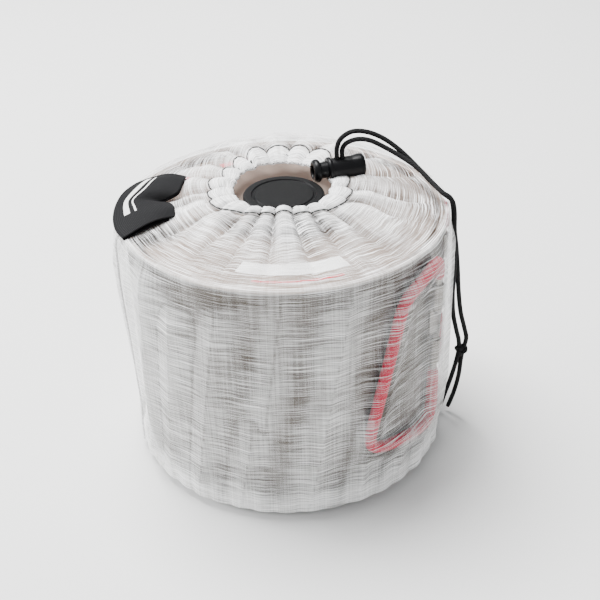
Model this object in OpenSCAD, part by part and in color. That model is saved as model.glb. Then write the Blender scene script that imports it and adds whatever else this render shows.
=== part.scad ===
// Packed backpacking pot: a thin pot with a lid and two folding wire handles, closed in a light
// drawstring stuff sack. Millimetres, +Z up, origin on the pot's axis at the surface it stands on.
// The front is -Y. Angles round the pot are measured from +X, anticlockwise seen from above.

/* [Pot] */
// Outer radius of the pot's wall
pot_r = 57.5; // [57.4:0.05:57.6]
// Height of the pot's bottom above the surface, where it rests on the sack's base
pot_z = 0.8; // [0.7:0.05:0.9]
// Height of the pot's rim
rim_z = 95.2; // [95:0.1:95.3]
// Radius of the pot's bottom corner
corner_r = 12; // [11:0.5:13]
// Thickness of the pot's and the lid's sheet
sheet = 0.5; // [0.45:0.05:0.55]
// Radius of the rolled bead on the rim
bead_r = 0.7; // [0.6:0.05:0.75]

/* [Lid] */
// Outer radius of the lid's flange
lid_r = 58.2; // [57.8:0.1:58.2]
// Height of the lid's sunk panel
panel_z = 94.5; // [94.2:0.1:94.7]
// Height of the lid's flange
flange_z = 96.5; // [96.45:0.05:96.7]
// Radius of the knob
knob_r = 14.8; // [13:0.1:14.9]
// Height of the knob's top
knob_top_z = 102.2; // [101.5:0.1:103]
// Radius of the knob's screw
screw_r = 2; // [1.5:0.1:2.2]

/* [Handles] */
// Distance from the pot's axis to the hinge pins and the folded handles
handle_r = 60; // [60:0.05:60.1]
// Angle of the front handle's hinge
front_hinge = -28; // [-30:1:-26]
// Angle of the rear handle's hinge
rear_hinge = 8; // [7:1:10]
// Radius of the handle wire
wire_r = 1.3; // [1.1:0.05:1.4]
// Outer radius of the silicone sleeve
sleeve_r = 2.2; // [1.9:0.05:2.2]
// Lower end of the bracket
bracket_z = 46.5; // [46:0.5:48]
// Height of the bracket
bracket_h = 34; // [32:0.5:34]
// Radial play of the hinge pins in their knuckles
pin_play = 0.05; // [0.02:0.01:0.08]

/* [Sack] */
// Thickness of the sack's cloth as one closed skin
skin = 0.45; // [0.3:0.05:0.5]
// Height of the gathered top above the surface
crown_z = 98; // [97.8:0.1:98.2]
// Half width of the drawcord channel
channel_w = 3.9; // [3.4:0.1:3.9]
// Half thickness of the drawcord channel
channel_t = 1.3; // [1.2:0.05:1.3]

/* [Cord and cord lock] */
// Radius of the drawcord
cord_r = 0.9; // [0.7:0.05:0.9]
// Radius of the cord lock's barrel
barrel_r = 4; // [3.8:0.1:4]
// Travel of the cord lock's plunger
press = 2; // [1.5:0.1:2]

/* [Hidden] */
pot_in = pot_r - sheet;
corner_at = pot_r - corner_r;
lid_hole = screw_r + 0.1;
hinge_low = [bracket_z + 0.6, bracket_z + 10.5];
hinge_high = [bracket_z + bracket_h - 10.5, bracket_z + bracket_h - 0.6];
knuckle_r = 2.1;
pin_end = 2;
leg_low = 36.02;
leg_high = 83.98;
bracket_lap = 1.3;
rivets = [[-18, 54.5], [-18, 72.5], [-2, 54.5], [-2, 72.5]];
rivet_r = 1.2;

// One handle loop from its lower leg to its upper leg: [angle from the hinge, height]
handle_path = [[0, 44], [0, 36], [0, 28.5], [1.2, 24.2], [4.5, 22.2], [10, 22.6], [20, 24.2],
    [28, 25.6], [32.2, 27.4], [33.6, 31], [32.6, 37], [29.5, 50], [26.2, 63], [23.4, 74],
    [21.4, 80.6], [18.6, 84.6], [14, 86.8], [8, 88.8], [3.8, 90], [1, 89], [0, 86], [0, 84],
    [0, 82.5]];

// The mouth is an oval round the knob; the drawcord runs along its channel's centre line
mouth_at = [-0.5, 7];
mouth_a = 22.6;
mouth_b = 26.3;
channel_z = 98.8;
exit_t = 20;

// Centre of the cord lock's cross hole, and the direction of its barrel
lock_at = [20.7, 15.8, 104.2];
lock_turn = 15;
lock_mouth = -4.6;
lock_end = 8.8;
bore_r = 3.1;
bore_end = 7.4;
plunger_end = 3.5;
button_x = -9.8;
hole_r = 1.2;
strand_gap = 1;

// Routes of the two cord tails from the channel, through the lock, over the edge and down
tail_a = [[19.7, 15.5, 98.6], [19.7, 15.5, 103.5], [19.7, 15.5, 108.5], [19.8, 15.6, 112.6],
    [21.4, 16, 116], [25.5, 16.5, 118.3], [31, 16.8, 117.8], [37, 16.2, 115.3], [43, 14, 111.3],
    [48.6, 10, 106.8], [53.4, 4.5, 103.2], [56.9, -0.6, 101.4], [59.8, -1.8, 99.6],
    [61, -1.9, 95.6], [61.7, -1.6, 88.2], [63, -1.2, 80], [64.2, -0.8, 70], [65.2, -0.4, 60], [66.6, 0, 50],
    [68.6, 0.4, 42], [69.8, 0.8, 36.5], [68.9, 1, 31], [68.4, 1.4, 25.5], [68, 1.6, 18],
    [66.6, 1.4, 10], [64.4, 1.2, 2.4]];
tail_b = [[21.7, 16.1, 98.6], [21.7, 16.1, 103.5], [21.7, 16.1, 108.5], [21.8, 16.1, 111.8],
    [23.6, 15.6, 114.4], [27.5, 15.2, 115.8], [32, 15, 115.2], [37.5, 14.2, 112.6],
    [43.2, 11.9, 109.9], [48.6, 8, 107.2], [53.4, 2.5, 104], [56.9, -2.6, 102.1],
    [59.9, -3.9, 100], [61.1, -4, 95.8], [61.6, -3.7, 88.6], [62.3, -3.2, 80], [62.7, -2.6, 70], [62.8, -2, 60],
    [63.6, -1.3, 50], [65.3, -0.5, 42], [66.8, 0.4, 36], [67.2, 1, 31], [66.4, 0.6, 25.5],
    [64.8, 0.3, 18], [62.9, 0.3, 10.5], [61.2, 0.4, 3.6]];
knot_at = [68.1, 1, 30.8];
knot_r = 2.7;

$fn = 64;

// Points of an arc in a profile
function arc(at, r, from, to, steps = 8) =
    [for (i = [0:steps]) at + r * [cos(from + (to - from) * i / steps),
        sin(from + (to - from) * i / steps)]];
function unit(v) = v / norm(v);
function round_pot(r, angle, z) = [r * cos(angle), r * sin(angle), z];
// A value that rises smoothly from 0 at a to 1 at b
function ramp(a, b, x) =
    let (t = min(1, max(0, (x - a) / (b - a)))) t * t * (3 - 2 * t);

// Directions along a path, and side vectors carried along it without twisting
function along(path) = [for (i = [0:len(path) - 1])
    unit(path[min(i + 1, len(path) - 1)] - path[max(i - 1, 0)])];
function square_off(v, t) = unit(v - (v * t) * t);
function sides_from(first, dirs) = [for (i = 0, s = square_off(first, dirs[0]);
    i < len(dirs);
    i = i + 1, s = i < len(dirs) ? square_off(s, dirs[i]) : s) s];
function rings(path, r, sides, first) =
    let (dirs = along(path), side = sides_from(first, dirs))
    [for (i = [0:len(path) - 1], k = [0:sides - 1])
        path[i] + r * cos(360 * k / sides) * side[i]
            + r * sin(360 * k / sides) * cross(dirs[i], side[i])];
function band(rows, n, from = 0, flip = false) =
    [for (i = [0:rows - 2], k = [0:n - 1])
        let (a = from + i * n + k, b = from + i * n + (k + 1) % n)
        flip ? [a, b, b + n, a + n] : [a, a + n, b + n, b]];
function lid_face(n, from, flip) = [for (k = [0:n - 1]) from + (flip ? n - 1 - k : k)];

// A solid tube along a path
module tube(path, r, sides = 8, first = [1, 0, 0.01]) {
    rows = len(path);
    polyhedron(points = rings(path, r, sides, first),
        faces = concat(band(rows, sides), [lid_face(sides, 0, false)],
            [lid_face(sides, (rows - 1) * sides, true)]));
}

// A hollow tube along a path
module pipe(path, r, r_in, sides = 10, first = [1, 0, 0.01]) {
    rows = len(path);
    count = rows * sides;
    ends = [for (row = [0, rows - 1], k = [0:sides - 1])
        let (a = row * sides + k, b = row * sides + (k + 1) % sides)
        row == 0 ? [a, b, b + count, a + count] : [a, a + count, b + count, b]];
    polyhedron(points = concat(rings(path, r, sides, first), rings(path, r_in, sides, first)),
        faces = concat(band(rows, sides), band(rows, sides, count, true), ends));
}

// ---------------------------------------------------------------- pot

module pot_body() color("#8d8780") difference() {
    rotate_extrude($fn = 128) {
        polygon(concat([[0, pot_z]],
            arc([corner_at, pot_z + corner_r], corner_r, -90, 0),
            [[pot_r, rim_z], [pot_in, rim_z]],
            arc([corner_at, pot_z + corner_r], corner_r - sheet, 0, -90),
            [[0, pot_z + sheet]]));
        translate([pot_r + 0.05, rim_z]) circle(r = bead_r, $fn = 32);
    }
    for (p = rivets) at_rivet(p) cylinder(r = rivet_r, h = 8, center = true);
}

module at_rivet(p) rotate([0, 0, p[0]]) translate([pot_r, 0, p[1]]) rotate([0, 90, 0]) children();

module knuckle(angle, z) translate(round_pot(handle_r, angle, z[0]))
    cylinder(r = knuckle_r, h = z[1] - z[0]);

module handle_bracket() color("#9a958e") difference() {
    union() {
        rotate([0, 0, front_hinge - bracket_lap])
            rotate_extrude(angle = rear_hinge - front_hinge + 2 * bracket_lap, $fn = 128)
            translate([pot_r + 0.02, bracket_z]) square([0.9, bracket_h]);
        for (angle = [front_hinge, rear_hinge], z = [hinge_low, hinge_high]) knuckle(angle, z);
    }
    for (angle = [front_hinge, rear_hinge])
        translate(round_pot(handle_r, angle, bracket_z - 1))
            cylinder(r = wire_r + pin_play, h = bracket_h + 2);
    for (p = rivets) at_rivet(p) cylinder(r = rivet_r, h = 8, center = true);
}

module bracket_rivets() color("#a8a39c") for (p = rivets) at_rivet(p) {
    translate([0, 0, -1.2]) cylinder(r = 2, h = 0.65);
    translate([0, 0, -0.6]) cylinder(r = rivet_r - 0.03, h = 1.8);
    translate([0, 0, 1]) cylinder(r1 = 2.1, r2 = 1.5, h = 0.6);
}

// ---------------------------------------------------------------- handles

// The loop's route on the pot, for a hinge at an angle and a side of 1 or -1
function loop_route(hinge, side) =
    [for (p = handle_path) round_pot(handle_r, hinge + side * p[0], p[1])];

// The bent loop and its two straight legs, which are the hinge pins
module handle_wire(hinge, side) color("#b5b0a8") {
    route = loop_route(hinge, side);
    tube([for (i = [1:len(route) - 2]) route[i]], wire_r, 10, round_pot(1, hinge, 0));
    leg(hinge, leg_low, hinge_low[1] + pin_end);
    leg(hinge, hinge_high[0] - pin_end, leg_high);
}

module leg(hinge, from, to) translate(round_pot(handle_r, hinge, from))
    cylinder(r = wire_r, h = to - from);

module handle_sleeve(hinge, side) color("#c8394c")
    pipe(loop_route(hinge, side), sleeve_r, wire_r + 0.02, 10, round_pot(1, hinge, 0));

module front_handle_wire() handle_wire(front_hinge, -1);
module front_handle_sleeve() handle_sleeve(front_hinge, -1);
module rear_handle_wire() handle_wire(rear_hinge, 1);
module rear_handle_sleeve() handle_sleeve(rear_hinge, 1);

// ---------------------------------------------------------------- lid

module lid() color("#b3a69b") {
    low = panel_z - 2.5;
    rotate_extrude($fn = 128) polygon([[lid_hole, panel_z], [54, panel_z], [54.5, panel_z - 0.5],
        [54.5, low + 0.5], [55, low], [55.5, low], [56, low + 0.5], [56, flange_z - 0.4],
        [56.4, flange_z], [lid_r, flange_z], [lid_r, flange_z - sheet], [56.5, flange_z - sheet],
        [56.5, low + 0.3], [55.7, low - sheet], [54.8, low - sheet], [54, low + 0.3],
        [54, panel_z - 0.8], [53.7, panel_z - sheet], [lid_hole, panel_z - sheet]]);
}

module lid_knob() color("#1b1b1c") {
    groove = 11.2;
    foot = panel_z + 0.05;
    edge = knob_top_z - 3.6;
    rotate_extrude($fn = 96) polygon(concat([[screw_r + 0.03, foot], [7.5, foot],
        [6.6, foot + 1], [6.6, edge - 0.6], [knob_r - 1.6, edge]],
        arc([knob_r - 1, edge + 1], 1, -80, 0, 4),
        arc([knob_r - 1, knob_top_z - 1], 1, 0, 90, 5),
        [[groove + 0.6, knob_top_z], [groove + 0.3, knob_top_z - 0.4],
        [groove - 0.3, knob_top_z - 0.4], [groove - 0.6, knob_top_z], [0, knob_top_z],
        [0, knob_top_z - 2], [screw_r + 0.03, knob_top_z - 2.4]]));
}

module knob_washer() color("#a9a9a9") translate([0, 0, panel_z - sheet - 0.65]) difference() {
    cylinder(r = 5, h = 0.6);
    translate([0, 0, -1]) cylinder(r = lid_hole, h = 3);
}

module knob_screw() color("#bcbcbc") {
    seat = panel_z - sheet - 0.7;
    difference() {
        translate([0, 0, seat - 1.6]) cylinder(r = 3.6, h = 1.6);
        for (turn = [0, 90]) translate([0, 0, seat - 1.6]) rotate([0, 0, turn])
            cube([4, 0.9, 1.6], center = true);
    }
    translate([0, 0, seat - 0.1]) cylinder(r = screw_r, h = knob_top_z - 3 - seat);
}

// ---------------------------------------------------------------- sack

// Outer radius of the cloth at an angle and a height. It stands clear of the two folded handles.
function over_handles(angle) =
    let (a = angle > 180 ? angle - 360 : angle)
    max(ramp(-72, -65, a) * ramp(-17, -24, a), ramp(-1, 5, a) * ramp(52, 45, a));
wall_rings = [4.4, 8, 14, 19, 26, 36, 50, 64, 76, 84, 89, 92.8, 95.2, 97.4, 98];
wall_radii = [57, 58.3, 59.4, 59.9, 60.2, 60.5, 60.7, 60.7, 60.4, 59.9, 59.4, 59, 58.9, 58.9, 58.8];
function wall_r(angle, i) =
    let (z = wall_rings[i], lift = ramp(13, 18, z) * ramp(95.2, 93, z))
    wall_radii[i] + (63.1 - wall_radii[i]) * lift * over_handles(angle);
wall_steps = 96;

module sack_wall() color("#eceae6", 0.6) {
    rows = len(wall_rings);
    count = rows * wall_steps;
    outside = [for (i = [0:rows - 1], k = [0:wall_steps - 1])
        let (a = 360 * k / wall_steps) round_pot(wall_r(a, i), a, wall_rings[i])];
    inside = [for (i = [0:rows - 1], k = [0:wall_steps - 1])
        let (a = 360 * k / wall_steps) round_pot(wall_r(a, i) - skin, a, wall_rings[i])];
    ends = [for (row = [0, rows - 1], k = [0:wall_steps - 1])
        let (a = row * wall_steps + k, b = row * wall_steps + (k + 1) % wall_steps)
        row == 0 ? [a, b, b + count, a + count] : [a, a + count, b + count, b]];
    polyhedron(points = concat(outside, inside), faces = concat(
        band(rows, wall_steps), band(rows, wall_steps, count, true), ends));
}

module sack_base() color("#e6e4e0") rotate_extrude($fn = 96)
    polygon([[0, 0], [50, 0], [53.4, 0.8], [56, 3.2], [55.6, 3.6], [53.1, 1.3], [50, 0.5], [0, 0.5]]);

module base_seam() color("#dcdad5") rotate_extrude($fn = 96)
    translate([56.4, 3.8]) circle(r = 0.65, $fn = 24);

// The crown runs from the wall's top ring in to the channel's outer edge
function mouth_point(t, grow, z) =
    [mouth_at[0] + (mouth_a + grow) * cos(t), mouth_at[1] + (mouth_b + grow) * sin(t), z];
crown_steps = 72;
crown_rows = 5;

function crown_sheet(drop) = [for (i = [0:crown_rows - 1], k = [0:crown_steps - 1])
    let (a = 360 * k / crown_steps, f = i / (crown_rows - 1),
        rim = round_pot(58.8, a, crown_z + skin), mouth = mouth_point(a, channel_w, 99.2))
    rim * (1 - f) + mouth * f - [0, 0, drop]];

module sack_crown() color("#f1efec", 0.6) {
    count = crown_rows * crown_steps;
    ends = [for (row = [0, crown_rows - 1], k = [0:crown_steps - 1])
        let (a = row * crown_steps + k, b = row * crown_steps + (k + 1) % crown_steps)
        row == 0 ? [a, b, b + count, a + count] : [a, a + count, b + count, b]];
    polyhedron(points = concat(crown_sheet(0), crown_sheet(skin)), faces = concat(
        band(crown_rows, crown_steps), band(crown_rows, crown_steps, count, true), ends));
}

// A closed ring round the mouth with an oval section
ring_steps = 36;
module mouth_ring(w, t, sides) {
    points = [for (i = [0:ring_steps - 1], k = [0:sides - 1])
        mouth_point(360 * i / ring_steps, w * cos(360 * k / sides),
            channel_z + t * sin(360 * k / sides))];
    faces = [for (i = [0:ring_steps - 1], k = [0:sides - 1])
        let (n = sides, j = (i + 1) % ring_steps, m = (k + 1) % n)
        [i * n + k, i * n + m, j * n + m, j * n + k]];
    polyhedron(points = points, faces = faces);
}

module drawcord_channel() color("#f4f3f0") difference() {
    mouth_ring(channel_w, channel_t, 12);
    mouth_ring(cord_r + 0.15, cord_r + 0.15, 8);
    translate([lock_at[0], lock_at[1], channel_z + 2]) cube([4.4, 3.2, 4], center = true);
}

module drawcord() color("#141414") {
    steps = 24;
    gap = 4;
    tube([for (i = [0:steps]) mouth_point(exit_t + gap + (360 - 2 * gap) * i / steps, 0, channel_z)],
        cord_r, 8, [0, 0, 1]);
}

// The side seam: a flat felled strip up the wall and over the crown to the channel
seam_angle = 195;
module side_seam() color("#e2e0db") {
    outer = [for (i = [1:len(wall_rings) - 3]) round_pot(wall_r(seam_angle, i) + 0.35, seam_angle,
        wall_rings[i])];
    top = [round_pot(59.1, seam_angle, crown_z + 0.5), round_pot(56, seam_angle, crown_z + 0.95),
        [-46, -12.4, crown_z + 1.1], [-36, -8.8, crown_z + 1.2], [-28.6, -4.4, crown_z + 1.3]];
    tube(concat(outer, top), 0.35, 6, [0, 1, 0]);
}

// The label: a woven ribbon folded in half, its two ends held by the side seam
module label() color("#121212") translate([-37.5, 18.5, crown_z + 1.3]) rotate([90, 0, 6])
    linear_extrude(height = 38) difference() {
        polygon(concat([[0, 0]], [[0, 0.5], [-6, 0.7]],
            [[-18, 0.9]], arc([-20.2, 2.3], 1.4, 270, 90, 6), [[-18, 3.7], [-6, 2.6], [0, 1.6],
            [0, 2.1], [-6, 3.1], [-18, 4.2]], arc([-20.2, 2.3], 1.9, 90, 270, 8),
            [[-18, 0.4], [-6, 0.2]]));
    }

// ---------------------------------------------------------------- cord

module cord_tail_a() color("#141414") tube(tail_a, cord_r, 8, [0, 1, 0]);
module cord_tail_b() color("#141414") tube(tail_b, cord_r, 8, [0, 1, 0]);
module cord_knot() color("#141414") translate(knot_at) sphere(r = knot_r, $fn = 32);

// ---------------------------------------------------------------- cord lock

module at_lock() translate(lock_at) rotate([0, 0, lock_turn]) children();
module lying(from, to, r) translate([from, 0, 0]) rotate([0, 90, 0])
    cylinder(r = r, h = to - from);
// An upright slot with round ends, for the two strands side by side
module cross_slot(from, to) {
    for (x = [from + hole_r, to - hole_r]) translate([x, 0, -6]) cylinder(r = hole_r, h = 12);
    translate([from + hole_r, -hole_r, -6]) cube([to - from - 2 * hole_r, 2 * hole_r, 12]);
}

module lock_barrel() color("#191919") at_lock() difference() {
    union() {
        lying(lock_mouth, lock_end - 1, barrel_r);
        translate([lock_end - 1, 0, 0]) rotate([0, 90, 0]) cylinder(r1 = barrel_r, r2 = 3.1, h = 1);
    }
    lying(lock_mouth - 1, bore_end, bore_r);
    cross_slot(-strand_gap - hole_r, strand_gap + hole_r);
}

module lock_plunger() color("#202020") at_lock() difference() {
    union() {
        lying(button_x, button_x + 1.7, 3.9);
        lying(button_x + 1, plunger_end, bore_r - 0.08);
    }
    cross_slot(-strand_gap - hole_r - press, strand_gap + hole_r);
    lying(button_x - 1, button_x + 0.5, 2.2);
}

module lock_spring() color("#b9b9b9") at_lock() {
    turns = 3;
    coil_r = 2.4;
    steps = 12 * turns;
    from = plunger_end + 0.35;
    to = bore_end - 0.35;
    tube([for (i = [0:steps]) [from + (to - from) * i / steps, coil_r * cos(30 * i),
        coil_r * sin(30 * i)]], 0.25, 6, [1, 0, 0]);
}

pot_body();
handle_bracket();
bracket_rivets();
front_handle_wire();
front_handle_sleeve();
rear_handle_wire();
rear_handle_sleeve();
lid();
lid_knob();
knob_screw();
knob_washer();
sack_base();
sack_wall();
sack_crown();
drawcord_channel();
drawcord();
side_seam();
base_seam();
label();
cord_tail_a();
cord_tail_b();
cord_knot();
lock_barrel();
lock_plunger();
lock_spring();
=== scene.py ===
"""Looks of a packed backpacking pot: thin titanium pot, lid and folding handles in a drawstring sack.

Every size below is in millimetres in the part's own frame and is turned into metres when a mesh is
made. The CAD part gives the places; this file gives cloth, thread, cord, print and metal their looks.
"""

import logging
import math
from dataclasses import dataclass, field
from enum import Enum
from typing import Sequence

import bpy
import numpy as np
from mathutils import Matrix, Vector, noise


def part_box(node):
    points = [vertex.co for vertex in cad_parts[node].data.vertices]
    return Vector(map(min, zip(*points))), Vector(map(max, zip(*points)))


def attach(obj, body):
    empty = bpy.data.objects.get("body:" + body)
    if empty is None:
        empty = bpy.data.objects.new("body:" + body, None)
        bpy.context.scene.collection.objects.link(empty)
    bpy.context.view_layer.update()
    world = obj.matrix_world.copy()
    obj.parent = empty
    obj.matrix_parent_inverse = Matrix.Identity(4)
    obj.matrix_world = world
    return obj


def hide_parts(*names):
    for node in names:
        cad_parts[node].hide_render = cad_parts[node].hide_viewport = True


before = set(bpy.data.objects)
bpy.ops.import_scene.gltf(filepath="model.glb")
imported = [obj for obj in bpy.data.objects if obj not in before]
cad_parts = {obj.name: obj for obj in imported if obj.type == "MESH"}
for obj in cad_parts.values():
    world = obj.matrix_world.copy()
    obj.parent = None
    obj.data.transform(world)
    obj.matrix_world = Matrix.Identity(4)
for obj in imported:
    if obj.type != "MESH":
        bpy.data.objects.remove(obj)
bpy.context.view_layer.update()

log = logging.getLogger("packed_pot")
MM = 0.001
FULL_TURN = 2 * math.pi
Socket = bpy.types.NodeSocket
FRONT_DEG, BACK_DEG = -90.0, 90.0
# Each folding handle: its side, its hinge's angle and which way round the pot it folds
HANDLES = (("front", -28.0, -1.0), ("rear", 8.0, 1.0))


# ------------------------------------------------------------------ small tools


def linear(code: str) -> tuple[float, float, float, float]:
    """Turns an sRGB hex colour into linear light.

    Args:
        code: six hex digits after a hash.

    Returns:
        Red, green, blue and a full alpha.
    """
    parts = [int(code[i : i + 2], 16) / 255 for i in (1, 3, 5)]
    light = [c / 12.92 if c <= 0.04045 else ((c + 0.055) / 1.055) ** 2.4 for c in parts]
    return (light[0], light[1], light[2], 1.0)


def ramp(a: float, b: float, x):
    """Rises smoothly from 0 where x is a to 1 where x is b, for a number or an array."""
    t = np.clip((np.asarray(x, float) - a) / (b - a), 0.0, 1.0)
    return t * t * (3 - 2 * t)


def bell(x, centre: float, width: float):
    """A bump of height 1 round a centre, for a number or an array."""
    return np.exp(-(((np.asarray(x, float) - centre) / width) ** 2))


def turn_gap(angle, centre: float):
    """The signed gap in degrees from a centre angle, between -180 and 180."""
    return (np.asarray(angle, float) - centre + 180.0) % 360.0 - 180.0


def ring_noise(turn: np.ndarray, size: float, level: float = 0.0) -> np.ndarray:
    """Seeded noise round a ring: one value for each angle in radians, at a level along its axis."""
    return np.array([noise.noise(Vector((math.cos(a) * size, math.sin(a) * size, level)))
                     for a in turn])


def add_node(tree: bpy.types.NodeTree, kind: str, settings: dict | None = None,
             inputs: dict | None = None) -> bpy.types.Node:
    """Adds a node with its settings, and fills or links its inputs.

    Args:
        tree: the node tree.
        kind: the node's type name.
        settings: the node's own properties.
        inputs: a value or an output socket for each named or numbered input.

    Returns:
        The new node.
    """
    node = tree.nodes.new(kind)
    for name, value in (settings or {}).items():
        setattr(node, name, value)
    for name, value in (inputs or {}).items():
        if isinstance(value, bpy.types.NodeSocket):
            tree.links.new(value, node.inputs[name])
        else:
            node.inputs[name].default_value = value
    return node


def catmull(points: Sequence[Sequence[float]], per: int) -> np.ndarray:
    """Runs one smooth curve through points.

    Args:
        points: the points to pass through.
        per: how many steps to make between two points.

    Returns:
        The curve's points.
    """
    p = np.asarray(points, float)
    p = np.vstack([2 * p[0] - p[1], p, 2 * p[-1] - p[-2]])
    out = []
    for i in range(len(p) - 3):
        a, b, c, d = p[i : i + 4]
        for k in range(per):
            t = k / per
            out.append(0.5 * (2 * b + (c - a) * t + (2 * a - 5 * b + 4 * c - d) * t**2
                              + (3 * b - a - 3 * c + d) * t**3))
    out.append(p[-2])
    return np.array(out)


def make_piece(name: str, verts: np.ndarray, faces: list, material: bpy.types.Material,
               uvs: list | None = None, smooth: bool = True) -> bpy.types.Object:
    """Makes a mesh piece from points in millimetres.

    Args:
        name: the piece's name.
        verts: the points.
        faces: the faces, as lists of point numbers.
        material: its material.
        uvs: one pair for each corner of each face, in order.
        smooth: whether it is shaded smooth.

    Returns:
        The new object, at the origin.
    """
    mesh = bpy.data.meshes.new(name)
    mesh.from_pydata((np.asarray(verts, float) * MM).tolist(), [], faces)
    if uvs is not None:
        layer = mesh.uv_layers.new(name="UVMap")
        layer.data.foreach_set("uv", np.asarray(uvs, np.float32).ravel())
    mesh.materials.append(material)
    mesh.polygons.foreach_set("use_smooth", [smooth] * len(mesh.polygons))
    mesh.update()
    piece = bpy.data.objects.new(name, mesh)
    bpy.context.scene.collection.objects.link(piece)
    return piece


def settle(piece: bpy.types.Object, body: str, replaces: Sequence[str] = ()) -> None:
    """Puts a piece on its body and hides the CAD nodes it stands for."""
    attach(piece, body)
    if replaces:
        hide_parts(*replaces)
    log.info("%s: %d faces on %s", piece.name, len(piece.data.polygons), body)


def grid_faces(rows: int, cols: int, wrap: bool) -> list[list[int]]:
    """Faces of a grid of points.

    Args:
        rows: how many rows.
        cols: how many points in a row.
        wrap: whether each row is a closed ring.

    Returns:
        Four point numbers for each face.
    """
    faces = []
    for i in range(rows - 1):
        for k in range(cols if wrap else cols - 1):
            a, b = i * cols + k, i * cols + (k + 1) % cols
            faces.append([a, b, b + cols, a + cols])
    return faces


def grid_uvs(u: np.ndarray, v: np.ndarray, wrap: bool) -> list:
    """UV pairs in the order of grid_faces, from row and column coordinates.

    Args:
        u: a coordinate for each column, with one more than the columns where the rows wrap.
        v: a coordinate for each row.
        wrap: whether each row is a closed ring.

    Returns:
        One pair for each corner of each face.
    """
    rows = len(v)
    cols = len(u) - 1 if wrap else len(u)
    pairs = []
    for i in range(rows - 1):
        for k in range(cols if wrap else cols - 1):
            pairs.extend([(u[k], v[i]), (u[k + 1], v[i]), (u[k + 1], v[i + 1]), (u[k], v[i + 1])])
    return pairs


def frames_along(points: np.ndarray) -> tuple[np.ndarray, np.ndarray, np.ndarray]:
    """Directions and two side vectors along a line, carried on without twisting.

    Args:
        points: the line's points.

    Returns:
        The unit directions and the two unit side vectors at each point.
    """
    ahead = np.gradient(points, axis=0)
    ahead /= np.linalg.norm(ahead, axis=1)[:, None]
    side = np.zeros_like(points)
    start = np.array([0.0, 1.0, 0.0]) if abs(ahead[0][1]) < 0.9 else np.array([1.0, 0.0, 0.0])
    for i, t in enumerate(ahead):
        s = start if i == 0 else side[i - 1]
        s = s - (s @ t) * t
        side[i] = s / np.linalg.norm(s)
    return ahead, side, np.cross(ahead, side)


def tube(name: str, points: np.ndarray, radius: float | np.ndarray, sides: int,
         material: bpy.types.Material) -> bpy.types.Object:
    """Makes a closed round tube along a line, with UVs in millimetres round and along it.

    Args:
        name: the piece's name.
        points: the line, in millimetres.
        radius: one radius, or one for each point.
        sides: how many sides.
        material: its material.

    Returns:
        The new object.
    """
    n = len(points)
    radius = np.full(n, radius) if np.isscalar(radius) else np.asarray(radius, float)
    _, side, up = frames_along(points)
    turn = np.arange(sides) * FULL_TURN / sides
    verts = (points[:, None, :]
             + radius[:, None, None] * (np.cos(turn)[None, :, None] * side[:, None, :]
                                        + np.sin(turn)[None, :, None] * up[:, None, :]))
    faces = grid_faces(n, sides, True)
    along = np.concatenate([[0], np.cumsum(np.linalg.norm(np.diff(points, axis=0), axis=1))])
    round_it = np.arange(sides + 1) / sides * FULL_TURN * float(radius.max())
    uvs = grid_uvs(round_it, along, True)
    faces.append(list(range(sides - 1, -1, -1)))
    faces.append([(n - 1) * sides + k for k in range(sides)])
    uvs.extend([(0.0, 0.0)] * (2 * sides))
    return make_piece(name, verts.reshape(-1, 3), faces, material, uvs)


# ------------------------------------------------------------------ finishes


def start_material(name: str, base: str, rough: float, metallic: float = 0.0,
                   sheen: float = 0.5
                   ) -> tuple[bpy.types.Material, bpy.types.NodeTree, bpy.types.Node]:
    """Starts a material with a Principled shader.

    Args:
        name: the material's name.
        base: its colour as a hex code.
        rough: its roughness.
        metallic: 1 for a metal.
        sheen: how strongly a surface that isn't metal reflects; 0.5 is plain plastic.

    Returns:
        The material, its node tree and its shader.
    """
    material = bpy.data.materials.new(name)
    material.use_nodes = True
    tree = material.node_tree
    shader = tree.nodes["Principled BSDF"]
    shader.inputs["Base Color"].default_value = linear(base)
    shader.inputs["Roughness"].default_value = rough
    shader.inputs["Metallic"].default_value = metallic
    if not metallic:
        shader.inputs["Specular IOR Level"].default_value = sheen
    return material, tree, shader


def grain(tree: bpy.types.NodeTree, vector: Socket, scale: float, detail: float) -> Socket:
    """The value of a noise texture at a place."""
    return add_node(tree, "ShaderNodeTexNoise", None,
                    {"Vector": vector, "Scale": scale, "Detail": detail}).outputs["Fac"]


def spread(tree: bpy.types.NodeTree, value: Socket, low: float, high: float,
           to_low: float = 0.0, to_high: float = 1.0) -> Socket:
    """Maps a range of a value onto another."""
    return add_node(tree, "ShaderNodeMapRange", None,
                    {"Value": value, "From Min": low, "From Max": high,
                     "To Min": to_low, "To Max": to_high}).outputs[0]


def sums(tree: bpy.types.NodeTree, operation: str, *values: Socket | float) -> Socket:
    """One arithmetic step on a few values."""
    return add_node(tree, "ShaderNodeMath", {"operation": operation},
                    dict(enumerate(values))).outputs[0]


def blend(tree: bpy.types.NodeTree, share: Socket, start: Socket | str, end: str) -> Socket:
    """Mixes two colours, given as hex codes or a socket, by a share."""
    first = linear(start) if isinstance(start, str) else start
    return add_node(tree, "ShaderNodeMix", {"data_type": "RGBA"},
                    {"Factor": share, 6: first, 7: linear(end)}).outputs[2]


def emboss(tree: bpy.types.NodeTree, shader: bpy.types.Node, height: Socket, strength: float,
           depth_mm: float) -> None:
    """Uses a height as the shader's relief."""
    bump = add_node(tree, "ShaderNodeBump", None,
                    {"Height": height, "Strength": strength, "Distance": depth_mm * MM})
    tree.links.new(bump.outputs[0], shader.inputs["Normal"])


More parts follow.
